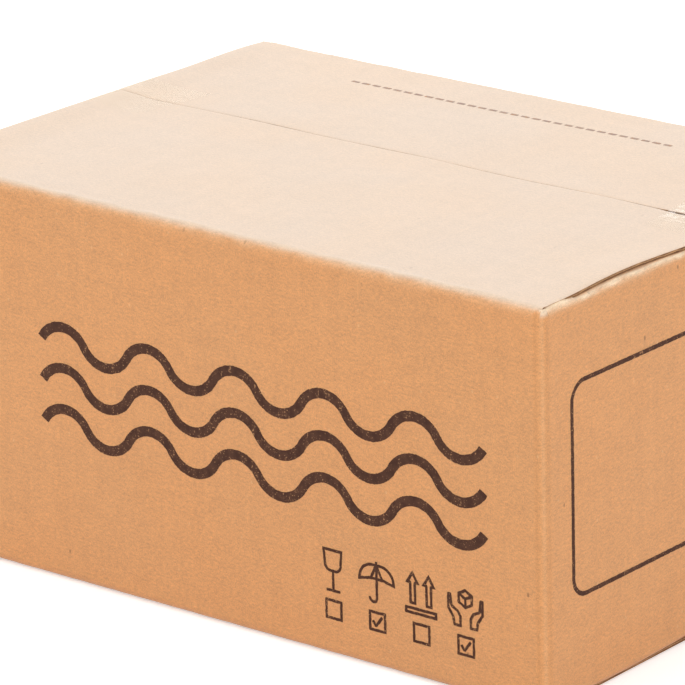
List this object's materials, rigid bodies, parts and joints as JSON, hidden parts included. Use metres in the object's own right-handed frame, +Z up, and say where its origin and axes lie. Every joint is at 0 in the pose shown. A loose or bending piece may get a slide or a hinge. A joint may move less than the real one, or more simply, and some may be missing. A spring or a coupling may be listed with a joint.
{
  "type": "taped parcel carton",
  "caption": "Closed rectangular shipping carton of folded corrugated board, with clear tape over its top and bottom seams and plain dark print.",
  "frame": {"origin": "middle of the underside, where the parcel stands", "axes": "+X along the length towards the end wall with the printed frame, -Y towards the wall with the large print, +Z up"},
  "size_m": [0.2002, 0.1425, 0.1041],
  "materials": {
    "kraft_board": "uncoated kraft corrugated board",
    "clear_tape": "clear glossy packing tape",
    "brown_ink": "matt dark brown ink with pinholes",
    "faded_ink": "thin faded brown ink"
  },
  "bodies": {
    "root": {"carton": "kraft_board", "top_tape_right": "clear_tape", "top_tape_left": "clear_tape", "bottom_tape": "clear_tape", "front_print": "brown_ink", "handling_marks": "brown_ink", "end_frame": "brown_ink", "top_print": "faded_ink"}
  },
  "joints": []
}
